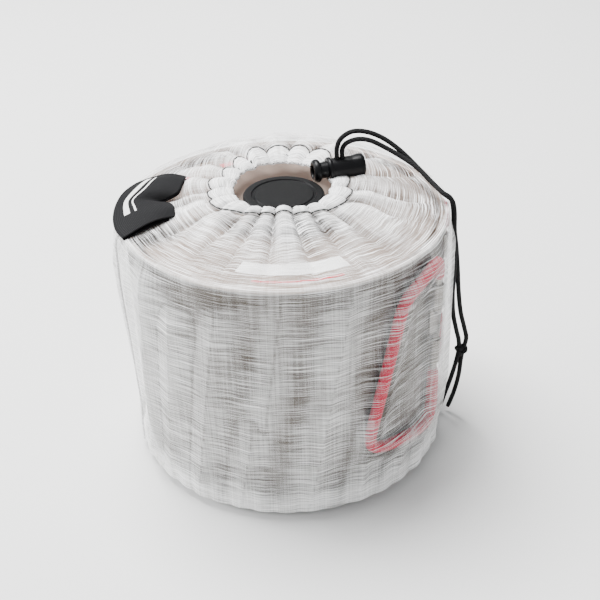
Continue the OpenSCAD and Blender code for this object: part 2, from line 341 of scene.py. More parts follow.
@dataclass(frozen=True)
class BrushedTitanium:
    """Commercially pure titanium sheet, spun and brushed round: warm grey with fine ring lines."""

    name: str
    light: str
    dark: str
    rough: float = 0.42
    line_mm: float = 0.5

    def build(self) -> bpy.types.Material:
        """The material, with brush lines that run round the pot."""
        material, tree, shader = start_material(self.name, self.light, self.rough, 1.0)
        place = add_node(tree, "ShaderNodeTexCoord").outputs["Object"]
        stretch = add_node(tree, "ShaderNodeMapping", None,
                           {"Vector": place, "Scale": (25, 25, 1 / (self.line_mm * MM))})
        lines = grain(tree, stretch.outputs[0], 1.0, 4.0)
        cloud = grain(tree, place, 38.0, 3.0)
        tone = spread(tree, sums(tree, "ADD", lines, cloud), 0.7, 1.3)
        tree.links.new(blend(tree, tone, self.dark, self.light), shader.inputs["Base Color"])
        rough = spread(tree, lines, 0.0, 1.0, self.rough - 0.1, self.rough + 0.12)
        tree.links.new(rough, shader.inputs["Roughness"])
        emboss(tree, shader, lines, 0.15, 0.1)
        return material


@dataclass(frozen=True)
class MouldedPlastic:
    """Injection moulded nylon with a spark-eroded grain: near black, soft low sheen."""

    name: str
    base: str
    rough: float
    grain_mm: float = 0.25

    def build(self) -> bpy.types.Material:
        """The material, with a fine grain in its bump and roughness."""
        material, tree, shader = start_material(self.name, self.base, self.rough, 0.0, 0.16)
        place = add_node(tree, "ShaderNodeTexCoord").outputs["Object"]
        fine = grain(tree, place, 1 / (self.grain_mm * MM), 2.0)
        rough = spread(tree, fine, 0.0, 1.0, self.rough - 0.08, self.rough + 0.08)
        tree.links.new(rough, shader.inputs["Roughness"])
        emboss(tree, shader, fine, 0.25, 0.08)
        return material


@dataclass(frozen=True)
class SiliconeRubber:
    """Extruded silicone sleeve: saturated red, matt, with faint powdery bloom."""

    name: str = "silicone_extruded_red"
    base: str = "#AE0A30"
    bloom: str = "#B93352"

    def build(self) -> bpy.types.Material:
        """The material, mottled by a light bloom."""
        material, tree, shader = start_material(self.name, self.base, 0.55)
        place = add_node(tree, "ShaderNodeTexCoord").outputs["Object"]
        share = spread(tree, grain(tree, place, 220.0, 4.0), 0.45, 0.8, 0.0, 0.5)
        tree.links.new(blend(tree, share, self.base, self.bloom), shader.inputs["Base Color"])
        return material


@dataclass(frozen=True)
class SlubCloth:
    """Featherweight woven sack cloth: half see-through, with thick and thin white slub threads.

    The mesh attribute "veil" makes the cloth denser where it is gathered or stands off the metal, and
    paints light by the cloth's cover: a painted highlight on the crown's ridges and at the rim, and a
    painted shadow just below the rim.
    """

    name: str
    base: str
    shade: str
    cover: float
    slub_gain: float
    slub_mm: float = 0.23
    slub_run_mm: float = 26.0
    thread_mm: float = 0.45

    def build(self) -> bpy.types.Material:
        """The material. Its UVs are millimetres round and up the cloth."""
        material, tree, shader = start_material(self.name, self.base, 0.6, 0.0, 0.3)
        uv = add_node(tree, "ShaderNodeUVMap", {"uv_map": "UVMap"}).outputs[0]

        def streaks(run: float, across: float, seed: float, detail: float) -> Socket:
            """Noise drawn out along the threads."""
            stretch = add_node(tree, "ShaderNodeMapping", None,
                               {"Vector": uv, "Scale": (1 / run, 1 / across, 1),
                                "Location": (seed, seed * 1.7, 0)})
            return add_node(tree, "ShaderNodeTexNoise", {"noise_dimensions": "2D"},
                            {"Vector": stretch.outputs[0], "Scale": 1.0, "Detail": detail,
                             "Roughness": 0.5}).outputs["Fac"]

        slubs = spread(tree, streaks(self.slub_run_mm, self.slub_mm, 3.1, 1.0), 0.6, 0.7, 0.0,
                       self.slub_gain)
        thin = spread(tree, streaks(self.slub_run_mm * 0.5, self.slub_mm * 1.6, 11.3, 2.0), 0.3, 0.7,
                      -0.22, 0.2)
        upright = spread(tree, streaks(self.thread_mm, 30.0, 7.9, 0.0), 0.3, 0.75, -0.05, 0.07)
        patch = spread(tree, streaks(13.0, 15.0, 5.3, 3.0), 0.3, 0.7, -0.06, 0.08)
        weave = slubs
        for part in (thin, upright, patch):
            weave = sums(tree, "ADD", weave, part)
        veil = add_node(tree, "ShaderNodeAttribute", {"attribute_name": "veil"}).outputs["Fac"]
        alpha = add_node(tree, "ShaderNodeMath", {"operation": "ADD", "use_clamp": True},
                         {0: sums(tree, "ADD", weave, veil), 1: self.cover})
        tree.links.new(alpha.outputs[0], shader.inputs["Alpha"])
        tone = spread(tree, weave, -0.2, 0.25)
        tree.links.new(blend(tree, tone, self.shade, self.base), shader.inputs["Base Color"])
        emboss(tree, shader, weave, 0.35, 0.1)
        return material


@dataclass(frozen=True)
class BraidedCord:
    """Round nylon cord braided from sixteen ends: black, with a small diamond relief."""

    name: str = "nylon_cord_braided_black"
    base: str = "#060606"
    light: str = "#1A1A1B"
    pitch_mm: float = 1.5
    round_mm: float = 0.94

    def build(self) -> bpy.types.Material:
        """The material. Two sets of slanted bands cross on UVs in millimetres."""
        material, tree, shader = start_material(self.name, self.base, 0.75, 0.0, 0.15)
        uv = add_node(tree, "ShaderNodeUVMap", {"uv_map": "UVMap"}).outputs[0]
        parts = add_node(tree, "ShaderNodeSeparateXYZ", None, {0: uv})
        waves = []
        for slant in (1.0, -1.0):
            across = sums(tree, "MULTIPLY", parts.outputs[0], slant * FULL_TURN / self.round_mm)
            phase = sums(tree, "MULTIPLY_ADD", parts.outputs[1], FULL_TURN / self.pitch_mm, across)
            waves.append(sums(tree, "SINE", phase))
        relief = sums(tree, "MAXIMUM", *waves)
        # Painted shade and highlight: the braid's grooves are coloured darker and its raised crests
        # lighter, following the relief
        tone = spread(tree, relief, -0.6, 1.0)
        tree.links.new(blend(tree, tone, self.base, self.light), shader.inputs["Base Color"])
        emboss(tree, shader, relief, 0.8, 0.12)
        return material


@dataclass(frozen=True)
class WovenRibbon:
    """Damask woven label ribbon: black satin ground with plain white bars woven along the fold."""

    name: str = "label_ribbon_woven_black"
    base: str = "#070708"
    light: str = "#18181A"
    mark: str = "#E4E4E2"
    rib_mm: float = 0.5
    bars: tuple = ((6.2, 1.0), (9.2, 0.35))
    bar_start_mm: float = 5.0
    bar_end_mm: float = 34.0

    def build(self) -> bpy.types.Material:
        """The material. Its UVs are millimetres along and across the ribbon."""
        material, tree, shader = start_material(self.name, self.base, 0.8, 0.0, 0.15)
        uv = add_node(tree, "ShaderNodeUVMap", {"uv_map": "UVMap"}).outputs[0]
        parts = add_node(tree, "ShaderNodeSeparateXYZ", None, {0: uv})
        along, across = parts.outputs[0], parts.outputs[1]
        reach = sums(tree, "COMPARE", along, (self.bar_start_mm + self.bar_end_mm) / 2,
                     (self.bar_end_mm - self.bar_start_mm) / 2)
        lines = [sums(tree, "MULTIPLY", sums(tree, "COMPARE", across, middle, half), reach)
                 for middle, half in self.bars]
        mark = sums(tree, "MAXIMUM", *lines)
        rib = sums(tree, "SINE", sums(tree, "MULTIPLY", across, FULL_TURN / self.rib_mm))
        # Painted sheen and shade: each rib's crest is coloured lighter and the hollow between ribs
        # darker
        ground = blend(tree, spread(tree, rib, -1.0, 1.0), self.base, self.light)
        tree.links.new(blend(tree, mark, ground, self.mark), shader.inputs["Base Color"])
        emboss(tree, shader, rib, 0.6, 0.1)
        return material


@dataclass(frozen=True)
class PlainFinish:
    """A simple finish with a fine mottle: sewing thread, printing ink, paint or bright steel."""

    name: str
    base: str
    rough: float
    metallic: float = 0.0
    mottle_mm: float = 0.6

    def build(self) -> bpy.types.Material:
        """The material, with its roughness broken up a little."""
        material, tree, shader = start_material(self.name, self.base, self.rough, self.metallic)
        place = add_node(tree, "ShaderNodeTexCoord").outputs["Object"]
        fine = grain(tree, place, 1 / (self.mottle_mm * MM), 2.0)
        rough = spread(tree, fine, 0.0, 1.0, self.rough - 0.1, self.rough + 0.1)
        tree.links.new(rough, shader.inputs["Roughness"])
        return material


class Finish(Enum):
    """Every finish of the object, by the maker's plain name."""

    POT = BrushedTitanium("titanium_spun_wall", "#67615B", "#504B46", 0.5)
    LID = BrushedTitanium("titanium_pressed_lid", "#A99A90", "#8B7C72", 0.5, 0.8)
    BRACKET = BrushedTitanium("titanium_stamped_bracket", "#807A73", "#666059", 0.38)
    WIRE = BrushedTitanium("titanium_drawn_wire", "#958F87", "#77716A", 0.32, 0.3)
    SLEEVE = SiliconeRubber()
    KNOB = MouldedPlastic("nylon_moulded_knob_black", "#060607", 0.4)
    LOCK = MouldedPlastic("acetal_moulded_lock_black", "#08080A", 0.34, 0.4)
    STEEL = PlainFinish("stainless_steel_turned", "#B8B8B8", 0.28, 1.0)
    CLOTH = SlubCloth("slub_cloth_single_white", "#FDFDFC", "#F0EFED", 0.16, 0.46)
    CROWN_CLOTH = SlubCloth("slub_cloth_gathered_white", "#FFFFFF", "#F4F3F2", 0.13, 0.9)
    HEM_CLOTH = SlubCloth("slub_cloth_doubled_hem", "#FEFEFE", "#F2F1F0", 0.66, 0.3)
    CORD = BraidedCord()
    LABEL = WovenRibbon()
    THREAD = PlainFinish("polyester_thread_black", "#151515", 0.6, 0.0, 0.2)
    WHITE_INK = PlainFinish("pad_print_white", "#F2F1EF", 0.5)
    RED_INK = PlainFinish("pad_print_red", "#C0303A", 0.5)

    def material(self) -> bpy.types.Material:
        """The finish's material, made once."""
        found = bpy.data.materials.get(self.value.name)
        return found or self.value.build()


# ------------------------------------------------------------------ studio


@dataclass
class Studio:
    """Pale sweep, soft lights and the camera."""

    target_mm: tuple = (4.9, 0.0, 56.6)
    distance_mm: float = 407.5
    elevation_deg: float = 32.7
    roll_deg: float = -1.4
    lens_mm: float = 64.0
    sensor_mm: float = 36.0

    def camera(self) -> None:
        """Makes the camera at the object's three-quarter view from above."""
        data = bpy.data.cameras.new("camera")
        data.lens = self.lens_mm
        data.sensor_width = self.sensor_mm
        data.clip_start, data.clip_end = 0.01, 20
        camera = bpy.data.objects.new("camera", data)
        bpy.context.scene.collection.objects.link(camera)
        up = math.radians(self.elevation_deg)
        back = Vector((0, -math.cos(up), math.sin(up)))
        target = Vector(self.target_mm) * MM
        turn = (-back).to_track_quat("-Z", "Y").to_matrix().to_4x4()
        roll = Matrix.Rotation(math.radians(self.roll_deg), 4, "Z")
        camera.matrix_world = Matrix.Translation(target + back * self.distance_mm * MM) @ turn @ roll
        bpy.context.scene.camera = camera

    def sweep(self) -> None:
        """Makes the pale floor that curves up far behind."""
        front_m, bend_at_m, bend_r_m, top_m, half_width_m = -3.0, 2.2, 1.2, 4.0, 5.0
        profile = [(front_m, 0.0), (bend_at_m, 0.0)]
        for a in np.linspace(0, math.pi / 2, 13)[1:]:
            profile.append((bend_at_m + bend_r_m * math.sin(a), bend_r_m * (1 - math.cos(a))))
        profile.append((bend_at_m + bend_r_m, top_m))
        verts = [(x, y, z) for y, z in profile for x in (-half_width_m, half_width_m)]
        faces = [[2 * i, 2 * i + 1, 2 * i + 3, 2 * i + 2] for i in range(len(profile) - 1)]
        finish = PlainFinish("painted_sweep_pale_grey", "#DEDEDD", 0.85, 0.0, 40.0)
        floor = make_piece("studio_floor", np.array(verts) / MM, faces, finish.build())

    def light(self, name: str, place: tuple, size: float, power: float, tint: str) -> None:
        """Adds one square soft light that faces the object."""
        data = bpy.data.lights.new(name, "AREA")
        data.shape, data.size, data.energy = "SQUARE", size, power
        data.color = linear(tint)[:3]
        lamp = bpy.data.objects.new(name, data)
        lamp.location = place
        aim = Vector((0, 0, 0.05)) - Vector(place)
        lamp.rotation_euler = aim.to_track_quat("-Z", "Y").to_euler()
        bpy.context.scene.collection.objects.link(lamp)

    def build(self) -> None:
        """Makes everything in the studio."""
        self.camera()
        self.sweep()
        self.light("overhead_softbox", (-0.3, 0.3, 1.2), 0.8, 60.0, "#FFFFFF")
        self.light("left_softbox", (-1.2, 0.25, 0.6), 0.8, 15.0, "#FDFEFF")
        world = bpy.data.worlds.new("studio")
        world.use_nodes = True
        shade = world.node_tree.nodes["Background"]
        shade.inputs["Color"].default_value = linear("#F4F6F8")
        shade.inputs["Strength"].default_value = 0.86
        bpy.context.scene.world = world
        log.info("studio: floor, two lights and camera")


# ------------------------------------------------------------------ pot and lid


@dataclass
class PotShell:
    """The bare pot: its CAD shell, bracket and rivets with their metal finishes."""

    def dress(self) -> None:
        """Gives the CAD nodes of the pot their metals."""
        for node, finish in (("pot_body", Finish.POT), ("handle_bracket", Finish.BRACKET),
                             ("bracket_rivets", Finish.BRACKET)):
            dress_node(node, finish)


def dress_node(node: str, finish: Finish, angle_deg: float = 35.0) -> None:
    """Gives a CAD node a finish and shades its curved faces smooth."""
    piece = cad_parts[node]
    piece.data.materials.clear()
    piece.data.materials.append(finish.material())
    piece.data.polygons.foreach_set("use_smooth", [True] * len(piece.data.polygons))
    piece.data.set_sharp_from_angle(angle=math.radians(angle_deg))
    log.info("%s: CAD node, %s", node, finish.value.name)


@dataclass
class FoldedHandle:
    """One wire handle folded along the wall, with its red sleeve."""

    side: str
    hinge_deg: float
    direction: float
    handle_r: float = 60.0
    wire_r: float = 1.3
    sleeve_r: float = 2.15
    wire_low: float = 59.0
    wire_high: float = 68.0
    route: list = field(default_factory=lambda: [
        (0, 44), (0, 36), (0, 28.5), (1.2, 24.2), (4.5, 22.2), (10, 22.6), (20, 24.2), (28, 25.6),
        (32.2, 27.4), (33.6, 31), (32.6, 37), (29.5, 50), (26.2, 63), (23.4, 74), (21.4, 80.6),
        (18.6, 84.6), (14, 86.8), (8, 88.8), (3.8, 90), (1, 89), (0, 86), (0, 82.5)])

    def line(self) -> np.ndarray:
        """The bent loop's centre line on the pot's wall."""
        flat = catmull([(a * 10, z) for a, z in self.route], 5)
        turn = np.radians(self.hinge_deg + self.direction * flat[:, 0] / 10)
        return np.column_stack([self.handle_r * np.cos(turn), self.handle_r * np.sin(turn),
                                flat[:, 1]])

    def build(self) -> None:
        """Makes the wire and the sleeve, each as one smooth tube."""
        loop = self.line()
        pin = self.handle_r * np.array([math.cos(math.radians(self.hinge_deg)),
                                        math.sin(math.radians(self.hinge_deg))])
        low = [[*pin, z] for z in np.linspace(self.wire_low, loop[0][2] + 1.5, 8)]
        high = [[*pin, z] for z in np.linspace(loop[-1][2] - 1.5, self.wire_high, 8)]
        whole = np.vstack([low, loop, high])
        radii = np.full(len(whole), self.wire_r)
        radii[[0, -1]] *= 0.7
        wire = tube(f"{self.side}_wire", whole, radii, 20, Finish.WIRE.material())
        settle(wire, f"{self.side}_handle", [f"{self.side}_handle_wire"])
        radii = np.full(len(loop), self.sleeve_r)
        radii[[0, -1]] = self.wire_r + 0.25
        radii[[1, -2]] = self.sleeve_r - 0.1
        sleeve = tube(f"{self.side}_sleeve", loop, radii, 24, Finish.SLEEVE.material())
        settle(sleeve, f"{self.side}_handle", [f"{self.side}_handle_sleeve"])


@dataclass
class LidPrint:
    """Plain printed bands on the lid: a white bar and thin red rules, with no lettering."""

    lift_mm: float = 0.04
    ink_mm: float = 0.05

    def arc_band(self, name: str, inner: float, outer: float, start: float, end: float,
                 finish: Finish) -> None:
        """Makes one thin printed arc on the lid's panel."""
        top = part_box("lid")[1].z / MM - 2.0
        steps = max(6, int((end - start) / 2))
        angles = np.radians(np.linspace(start, end, steps + 1))
        low, high = top + self.lift_mm, top + self.lift_mm + self.ink_mm
        section = [(inner, low), (outer, low), (outer, high), (inner, high)]
        verts = [[r * math.cos(a), r * math.sin(a), z] for a in angles for r, z in section]
        faces = grid_faces(steps + 1, 4, True)
        faces += [[3, 2, 1, 0], [4 * steps + k for k in range(4)]]
        band = make_piece(name, np.array(verts), faces, finish.material(), smooth=False)
        settle(band, "lid")

    def build(self) -> None:
        """Makes every printed band."""
        self.arc_band("print_bar_front", 37.0, 44.0, -112.0, -60.0, Finish.WHITE_INK)
        self.arc_band("print_rule_front", 47.6, 48.8, -103.0, -66.0, Finish.RED_INK)
        for i, (start, end) in enumerate(((58.0, 84.0), (96.0, 122.0), (140.0, 166.0))):
            self.arc_band(f"print_rule_back_{i}", 45.6, 48.8, start, end, Finish.RED_INK)


@dataclass
class PotLid:
    """The lid, its knob and the knob's fastening."""

    def dress(self) -> None:
        """Gives the lid's CAD nodes their finishes."""
        for node, finish in (("lid", Finish.LID), ("lid_knob", Finish.KNOB),
                             ("knob_screw", Finish.STEEL), ("knob_washer", Finish.STEEL)):
            dress_node(node, finish)


# ------------------------------------------------------------------ sack


@dataclass
class Fold:
    """A standing fold in the wall's cloth, from a low to a high place."""

    low_deg: float
    high_deg: float
    low_z: float
    high_z: float
    height: float
    width: float

    def at(self, angle: np.ndarray, z: np.ndarray) -> np.ndarray:
        """How far the fold lifts the cloth at an angle and a height."""
        share = np.clip((z - self.low_z) / (self.high_z - self.low_z), 0, 1)
        centre = self.low_deg + (self.high_deg - self.low_deg) * share
        fade = ramp(self.low_z - 7, self.low_z + 4, z) * ramp(self.high_z + 9, self.high_z - 5, z)
        gap = turn_gap(angle, centre)
        return self.height * fade * np.exp(-np.abs(gap / self.width) ** 1.3)


@dataclass
class SackCloth:
    """The sack's cloth as one sheet: from the base seam up the wall, over the rim to the hem.

    Attributes:
        around, wall_rows, turn_rows, crown_rows: how fine the sheet's grid is.
        girth_mm: the cloth's own girth.
        seam_deg: where the side seam runs.
        foot_z, rim_r, rim_z: where the wall starts, and where the cloth turns over the lid.
        mouth, tall, edge_a, edge_b: the oval mouth's centre, stretch and half widths.
        wall_profile: the taut wall's radius at each height.
        lobe_edges: the creases between the gathers, in degrees.
        stitch_reach: how far the channel's outer seam is from the mouth's centre at each angle.
    """

    around: int = 500
    wall_rows: int = 96
    turn_rows: int = 4
    crown_rows: int = 52
    girth_mm: float = 372.0
    seam_deg: float = 195.0
    foot_z: float = 3.9
    rim_r: float = 58.9
    rim_z: float = 97.95
    mouth: tuple = (-0.5, 7.0)
    tall: float = 1.13
    edge_a: float = 17.8
    edge_b: float = 21.0
    seed: int = 11
    wall_profile: tuple = ((3.9, 56.4), (6, 57.2), (9, 58.1), (13, 58.9), (20, 59.1), (40, 59.2),
                           (60, 59.2), (78, 59.1), (90, 59.0), (95, 58.85), (97.1, 58.85))
    lobe_edges: tuple = (-180, -164, -148, -127, -112, -97, -80, -62, -46, -22, -4, 22, 44, 66, 84,
                         104, 124, 142, 162, 180)
    stitch_reach: tuple = ((-180, 27.0), (-150, 27.2), (-128, 23.6), (-110, 21.9), (-90, 22.0),
                           (-62, 22.6), (-42, 24.8), (-20, 25.0), (0, 24.0), (24, 25.0), (50, 27.5),
                           (80, 28.0), (110, 27.0), (135, 24.6), (160, 23.8), (180, 27.0))

    def __post_init__(self) -> None:
        """Lays out the angles and the wall's folds."""
        self.angle = np.arange(self.around) * 360.0 / self.around
        rng = np.random.default_rng(self.seed)
        self.edges = np.array(self.lobe_edges, float)
        self.lobe_size = rng.uniform(0.7, 1.2, len(self.edges) - 1)
        self.folds = [
            Fold(-108, -102, 2, 40, 1.3, 3.6), Fold(-84, -69, 4, 92, 1.6, 4.2),
            Fold(-124, -113, 6, 84, 1.2, 4.6), Fold(-138, -130, 2, 80, 2.0, 5.6),
            Fold(-149, -142, 8, 90, 2.6, 5.4), Fold(-98, -91, 40, 94, 0.8, 3.4),
            Fold(-66, -61, 2, 36, 1.6, 3.0), Fold(-52, -46, 0, 20, 1.8, 3.4),
            Fold(-30, -36, 2, 18, 1.6, 4.0), Fold(-10, -13, 6, 92, 1.9, 4.6),
        ]
        for centre in np.arange(52, 206, 19.0):
            lean = rng.uniform(-5, 5)
            self.folds.append(Fold(centre + rng.uniform(-4, 4) - lean, centre + lean,
                                   rng.uniform(0, 14), rng.uniform(60, 94),
                                   rng.uniform(1.2, 2.5), rng.uniform(3.0, 5.5)))

    def lobes(self, angle: np.ndarray) -> np.ndarray:
        """The gathers' height from 0 in a crease to about 1 on a puff, at each angle."""
        a = (np.asarray(angle, float) + 180.0) % 360.0 - 180.0
        index = np.clip(np.searchsorted(self.edges, a, side="right") - 1, 0,
                        len(self.lobe_size) - 1)
        share = (a - self.edges[index]) / (self.edges[index + 1] - self.edges[index])
        return self.lobe_size[index] * np.abs(np.sin(np.pi * share)) ** 0.52

    def over_handles(self, angle: np.ndarray, z: np.ndarray) -> np.ndarray:
        """How near a point of the wall is to a sleeve, from 0 to 1."""
        near = np.zeros_like(z)
        for side, hinge, direction in HANDLES:
            loop = [(a * 10, h) for a, h in FoldedHandle(side, hinge, direction).route]
            # The hinge line closes the loop between its two ends
            flat = catmull(loop + [(0, h) for h in range(76, 45, -6)], 4)
            arc = np.radians(direction * flat[:, 0] / 10) * 60.0
            place = np.radians(turn_gap(angle, hinge)) * 60.0
            gap = np.min(np.hypot(place[..., None] - arc, z[..., None] - flat[:, 1]), axis=-1)
            near = np.maximum(near, np.exp(-(np.maximum(gap - 1.9, 0) / 3.4) ** 1.4))
        return near

    @staticmethod
    def wrinkle(points: np.ndarray, size: tuple, depth: float) -> np.ndarray:
        """Soft seeded noise at each point, in millimetres."""
        flat = points.reshape(-1, 3) / np.array(size)
        values = np.array([noise.noise(Vector(p)) for p in flat])
        return depth * values.reshape(points.shape[:-1])

    def wall(self) -> tuple[np.ndarray, np.ndarray]:
        """The wall's points, from the base seam up to the rim, and the cloth's veil there."""
        share = np.linspace(0, 1, self.wall_rows)
        top_z = self.rim_z - 0.9
        angle, z = np.meshgrid(self.angle, self.foot_z + (top_z - self.foot_z) * share)
        r = np.interp(z, *np.array(self.wall_profile, float).T)
        top, foot = ramp(98, 90, z), ramp(22, 8, z)
        # The cloth hangs loose at the left, and stands off the wall between the handles
        left = bell(turn_gap(angle, 186), 0, 36)
        right = bell(turn_gap(angle, -6), 0, 24)
        r += left * 2.5 * ramp(10, 84, z) * ramp(99, 93, z) + right * 1.5 * ramp(6, 30, z) * top
        lift = np.zeros_like(r)
        for fold in self.folds:
            lift = np.maximum(lift, fold.at(angle, z))
        r += lift * (0.85 * top + 0.15)
        sleeve = self.over_handles(angle, z)
        r = np.maximum(r, 59.4 + 3.3 * sleeve)
        turn = np.radians(angle)
        ring = np.stack([60 * np.cos(turn), 60 * np.sin(turn), z], -1)
        r += self.wrinkle(ring, (8, 8, 34), 0.5) * top
        r += self.wrinkle(ring, (3.2, 3.2, 9), 0.16)
        # Small gathers where the wall is sewn to the base
        r += foot * 0.55 * np.abs(np.sin(np.radians(angle * 21 + 40 * np.sin(turn * 3))))
        # Denser off the metal, on a fold's flanks, at the foot and at the rim; thinner on a sleeve
        # and just below the rim
        slope = np.minimum(np.abs(np.gradient(lift, axis=1)) * 2.6, 0.2)
        grip = bell(turn_gap(angle, -60), 0, 9)
        veil = 0.16 * ramp(59.3, 62.2, r) + 0.2 * left * ramp(20, 80, z) + slope
        veil += 0.36 * foot * ramp(16, 9, z) - (0.12 + 0.3 * grip) * sleeve
        # Painted light: the narrow denser band at the rim is a painted highlight along the cloth's
        # fold over the rim, and the thinner band just below it lets the metal show darker as a
        # painted shadow under the lid's flange
        veil += 0.3 * ramp(96.2, 97.1, z) - 0.08 * ramp(86, 92, z) * ramp(96.4, 95, z)
        return np.stack([r * np.cos(turn), r * np.sin(turn), z], -1), veil

    def oval(self, reach: np.ndarray, angle: np.ndarray) -> np.ndarray:
        """Points round the mouth at a reach for each angle, longer to front and back."""
        t = np.radians(angle)
        return np.stack([self.mouth[0] + reach * np.cos(t),
                         self.mouth[1] + self.tall * reach * np.sin(t)], -1)

    @staticmethod
    def puff_rise(angle: np.ndarray) -> np.ndarray:
        """How far the outer seam rises on a puff."""
        return 2.1 + 1.0 * bell(turn_gap(angle, FRONT_DEG), 0, 52)

    @staticmethod
    def seam_height(angle: np.ndarray) -> np.ndarray:
        """Height of the channel's outer seam in the creases."""
        front, back = bell(turn_gap(angle, FRONT_DEG), 0, 52), bell(turn_gap(angle, BACK_DEG), 0, 60)
        return 98.9 + 1.9 * front + 2.3 * back

    def stitch_line(self, angle: np.ndarray) -> np.ndarray:
        """The channel's outer seam, which bows out and up on each puff."""
        keys = np.array(self.stitch_reach, float)
        at = (np.asarray(angle, float) + 180) % 360 - 180
        puff = self.lobes(angle)
        front = bell(turn_gap(angle, FRONT_DEG), 0, 52)
        reach = np.interp(at, keys[:, 0], keys[:, 1]) - 2.4 + front + (3.6 - 2.0 * front) * puff
        z = self.seam_height(angle) + self.puff_rise(angle) * puff
        return np.column_stack([self.oval(reach, angle), z])

    def crown(self) -> tuple[np.ndarray, np.ndarray]:
        """The gathered cloth's points, from the rim in to the channel, and the veil there."""
        turn = np.radians(self.angle)
        rim = np.column_stack([self.rim_r * np.cos(turn), self.rim_r * np.sin(turn),
                               np.full_like(turn, self.rim_z)])
        seam = self.stitch_line(self.angle)
        seam[:, 2] = self.seam_height(self.angle)
        # Behind the mouth the loose cloth stands up off the lid
        billow = 3.6 * bell(turn_gap(self.angle, BACK_DEG + 2), 0, 44)
        rows, veils = [], []
        for s in np.linspace(0, 1, self.crown_rows):
            drift = ring_noise(turn, 1.7, s * 1.2) * 9.0 * (1 - s) * s
            here = self.lobes(self.angle + drift)
            fine = self.lobes(self.angle * 2 + 31 + drift * 3)
            # A gather grows towards the mouth, and takes the channel's own height where it meets it
            close = float(ramp(0.76, 1, s))
            tall = 5.4 * s**1.1 * (1 - close) + (self.puff_rise(self.angle) - 0.1) * close
            line = rim * (1 - s) + seam * s
            line[:, 2] += here * tall * 1.12 + 0.9 * fine * s * (1 - s) - 1.5 * math.sin(math.pi * s)
            line[:, 2] += billow * float(ramp(0, 0.16, s)) * (1 - s)
            rows.append(line)
            # Painted highlight: the ridges of the gathers are made denser, so whiter, than the
            # creases, more so near the mouth, and so is the cloth at the rim's edge; the cloth also
            # grows denser towards the mouth
            ridge_highlight = ramp(0.4, 1.05, here) * float(ramp(0.18, 0.8, s))
            veils.append(0.36 * ridge_highlight - 0.03 + 0.1 * s**2 + 0.3 * float(ramp(0.05, 0.0, s)))
        points, veil = np.array(rows), np.array(veils)
        radial = np.linalg.norm(points[..., :2], axis=-1)
        turned = np.degrees(np.arctan2(points[..., 1] - self.mouth[1], points[..., 0]))
        polar = np.stack([turned * 0.35, radial * 0.09, np.zeros_like(radial)], -1)
        inner = ramp(58.8, 52, radial)
        points[..., 2] += self.wrinkle(polar, (2.0, 1.0, 1.0), 0.8) * inner
        points[..., 2] += self.wrinkle(points, (3.0, 3.0, 3.0), 0.3) * inner
        # The cloth rests on the lid's flange and stays above its sunk panel
        flange_z, panel_z, flange_r = 97.0, 95.3, 54.0
        points[..., 2] = np.maximum(points[..., 2], np.where(radial > flange_r, flange_z, panel_z))
        return points, veil

    def build(self) -> bpy.types.Object:
        """Makes the sheet, with UVs that count millimetres of cloth."""
        (wall, wall_veil), (crown, crown_veil) = self.wall(), self.crown()
        over, over_veil = [], []
        for k in range(1, self.turn_rows + 1):
            a = math.pi / 2 * k / (self.turn_rows + 1)
            flat = wall[-1, :, :2] * math.cos(a) + crown[0, :, :2] * (1 - math.cos(a))
            rise = wall[-1, :, 2] + (crown[0, :, 2] - wall[-1, :, 2]) * math.sin(a)
            over.append(np.column_stack([flat, rise]))
            over_veil.append(wall_veil[-1])
        points = np.concatenate([wall, np.array(over), crown])
        veil = np.concatenate([wall_veil, np.array(over_veil), crown_veil])
        step = np.linalg.norm(np.diff(points, axis=0), axis=-1).mean(axis=1)
        v = np.concatenate([[0], np.cumsum(step)])
        u = np.arange(self.around + 1) * self.girth_mm / self.around
        roll = -int(self.seam_deg / 360 * self.around)
        points, veil = np.roll(points, roll, axis=1), np.roll(veil, roll, axis=1)
        faces = grid_faces(len(points), self.around, True)
        cloth = make_piece("sack_cloth", points.reshape(-1, 3), faces, Finish.CLOTH.material(),
                           grid_uvs(u, v, True))
        cloth.data.materials.append(Finish.CROWN_CLOTH.material())
        slots = np.zeros(len(faces), np.int32)
        slots[(self.wall_rows + self.turn_rows - 1) * self.around :] = 1
        cloth.data.polygons.foreach_set("material_index", slots)
        layer = cloth.data.attributes.new("veil", "FLOAT", "POINT")
        layer.data.foreach_set("value", veil.astype(np.float32).ravel())
        settle(cloth, "sack", ["sack_wall", "sack_crown"])
        return cloth


@dataclass
class SackBase:
    """The round bottom of the sack, turned up a little to the base seam, and the bound seam."""

    around: int = 240

    def build(self) -> bpy.types.Object:
        """Makes the base's cloth and the rolled seam round it."""
        angle = np.radians(np.arange(self.around) * 360.0 / self.around)
        rings = [(0.6, 0.12), (15, 0.1), (30, 0.1), (42, 0.1), (50, 0.15), (53.0, 0.9), (55.2, 2.4),
                 (56.3, 3.6)]
        rows = []
        for r, z in rings:
            wave = 0.25 * ramp(45, 56, r) * np.sin(angle * 23 + 1.3 * np.sin(angle * 3))
            rows.append(np.column_stack([(r + wave) * np.cos(angle), (r + wave) * np.sin(angle),
                                         np.full_like(angle, z)]))
        points = np.concatenate(rows)
        faces = grid_faces(len(rings), self.around, True)
        faces.append(list(range(self.around - 1, -1, -1)))
        flat_u = points[:, 0]
        uvs = [(flat_u[i], points[i, 1]) for face in faces for i in face]
        base = make_piece("sack_floor", points, faces, Finish.CLOTH.material(), uvs)
        settle(base, "sack", ["sack_base"])
        ring = np.column_stack([(56.35 + 0.2 * np.sin(angle * 23)) * np.cos(angle),
                                (56.35 + 0.2 * np.sin(angle * 23)) * np.sin(angle),
                                3.75 + 0.25 * np.sin(angle * 17 + 0.6)])
        seam = closed_tube("base_binding", ring, 0.5, 0.75, Finish.HEM_CLOTH.material())
        settle(seam, "sack", ["base_seam"])
        return base


